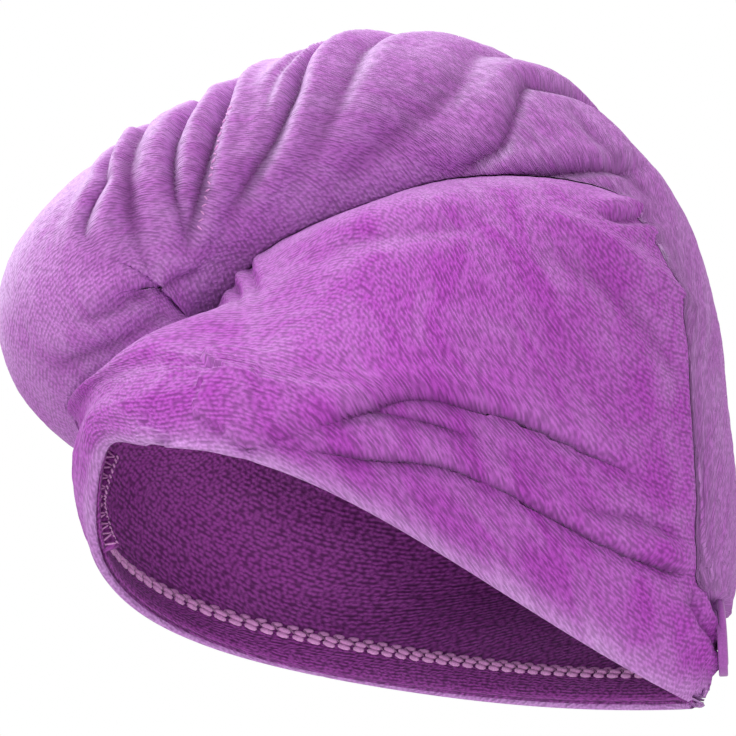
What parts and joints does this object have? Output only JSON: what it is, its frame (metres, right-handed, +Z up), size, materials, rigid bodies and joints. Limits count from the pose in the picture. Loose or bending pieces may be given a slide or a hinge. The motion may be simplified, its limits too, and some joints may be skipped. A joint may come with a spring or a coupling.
{
  "type": "hair turban towel",
  "caption": "Purple microfibre terry hair turban in worn form, its wound tail folded back over the crown and held at the nape.",
  "frame": {"origin": "middle of the opening that the head goes into, where the turban sits on a head", "axes": "+Z up the wearer's head, -Y the way the face looks, +X to the wearer's left"},
  "size_m": [0.1766, 0.2524, 0.2523],
  "materials": {
    "towel_pile": "short crushed pile with a pale sheen",
    "towel_inside": "looped terry in rows",
    "overlock_thread": "soft bulked thread",
    "button": "matte moulded"
  },
  "bodies": {
    "root": {"hood": "towel_pile", "twisted_tail": "towel_pile", "rim_hem_left": "towel_inside", "rim_hem_right": "towel_inside", "front_seam": "overlock_thread", "nape_clasp": "button"}
  },
  "joints": []
}
